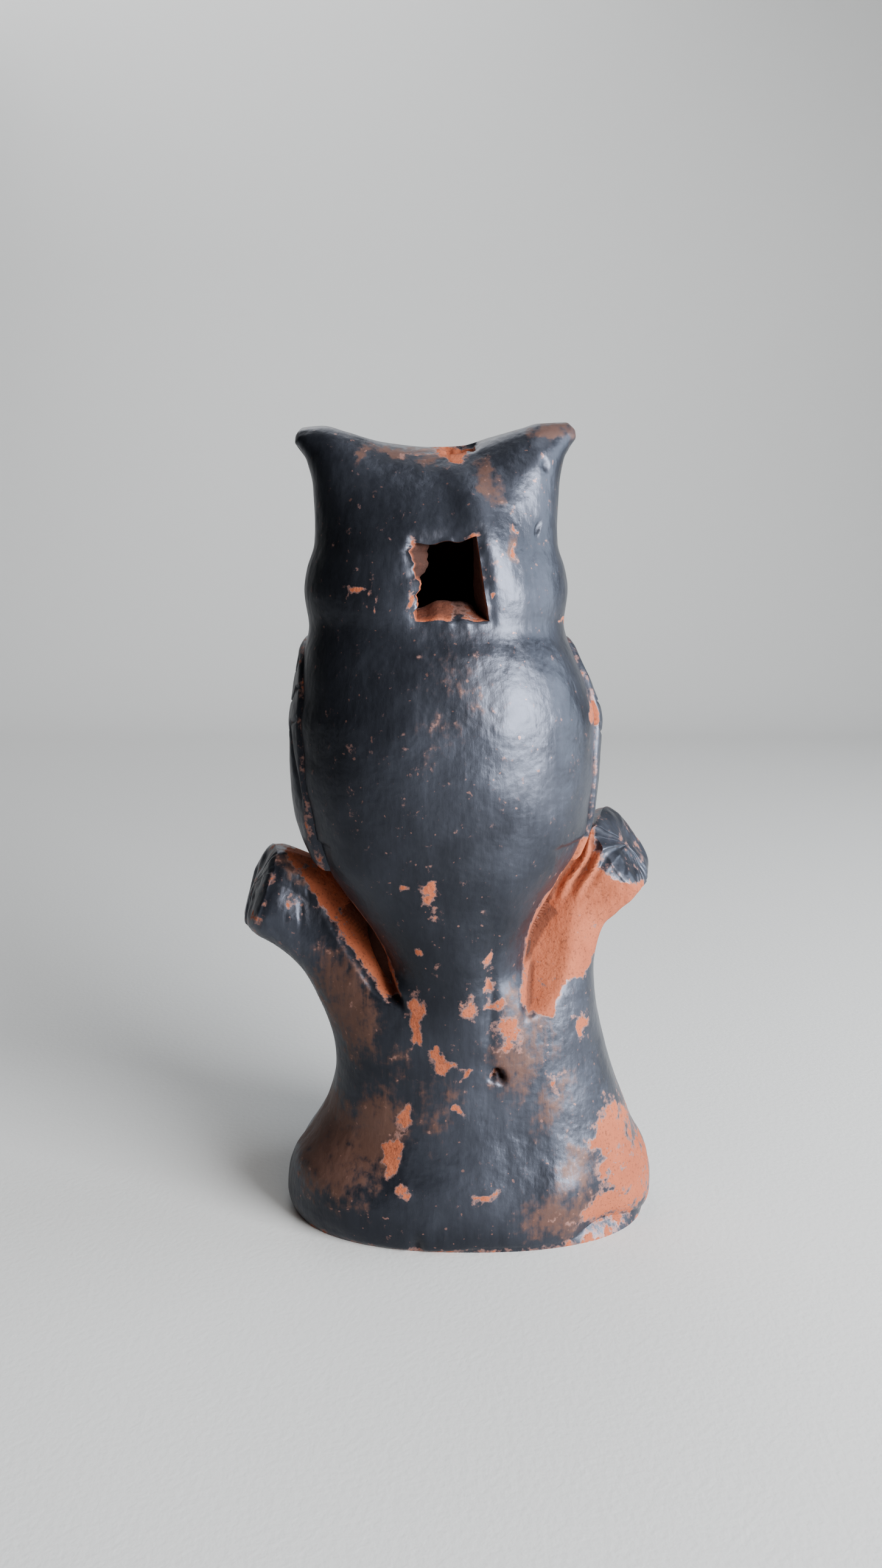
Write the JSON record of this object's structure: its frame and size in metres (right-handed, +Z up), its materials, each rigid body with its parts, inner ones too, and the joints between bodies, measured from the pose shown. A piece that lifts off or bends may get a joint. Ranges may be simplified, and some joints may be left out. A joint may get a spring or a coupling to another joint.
{
  "type": "owl figurine",
  "caption": "Hollow clay owl sitting in the fork of a branching stump, with a square window in the back of its head and a blowing slot in its crest.",
  "frame": {"origin": "middle of the flat foot, on the plane that the figurine stands on", "axes": "+Z up; the owl looks along -Y, so the window in the back of its head faces +Y; +X is the owl's own left"},
  "size_m": [0.0698, 0.0452, 0.1306],
  "materials": {
    "graphite_finish": "burnished graphite slip over terracotta, satin, worn through in patches",
    "bare_clay": "unglazed low-fired terracotta, matt"
  },
  "bodies": {
    "root": {"back_shell": "graphite_finish", "front_shell": "graphite_finish", "left_branch": "graphite_finish", "right_branch": "graphite_finish", "left_wing": "graphite_finish", "right_wing": "graphite_finish", "left_eye_ring": "graphite_finish", "right_eye_ring": "graphite_finish", "left_eye": "graphite_finish", "right_eye": "graphite_finish", "beak": "graphite_finish", "left_foot": "graphite_finish", "right_foot": "graphite_finish", "base_slab": "bare_clay", "windway_plug": "bare_clay", "left_seam_coil": "bare_clay", "right_seam_coil": "bare_clay"}
  },
  "joints": []
}
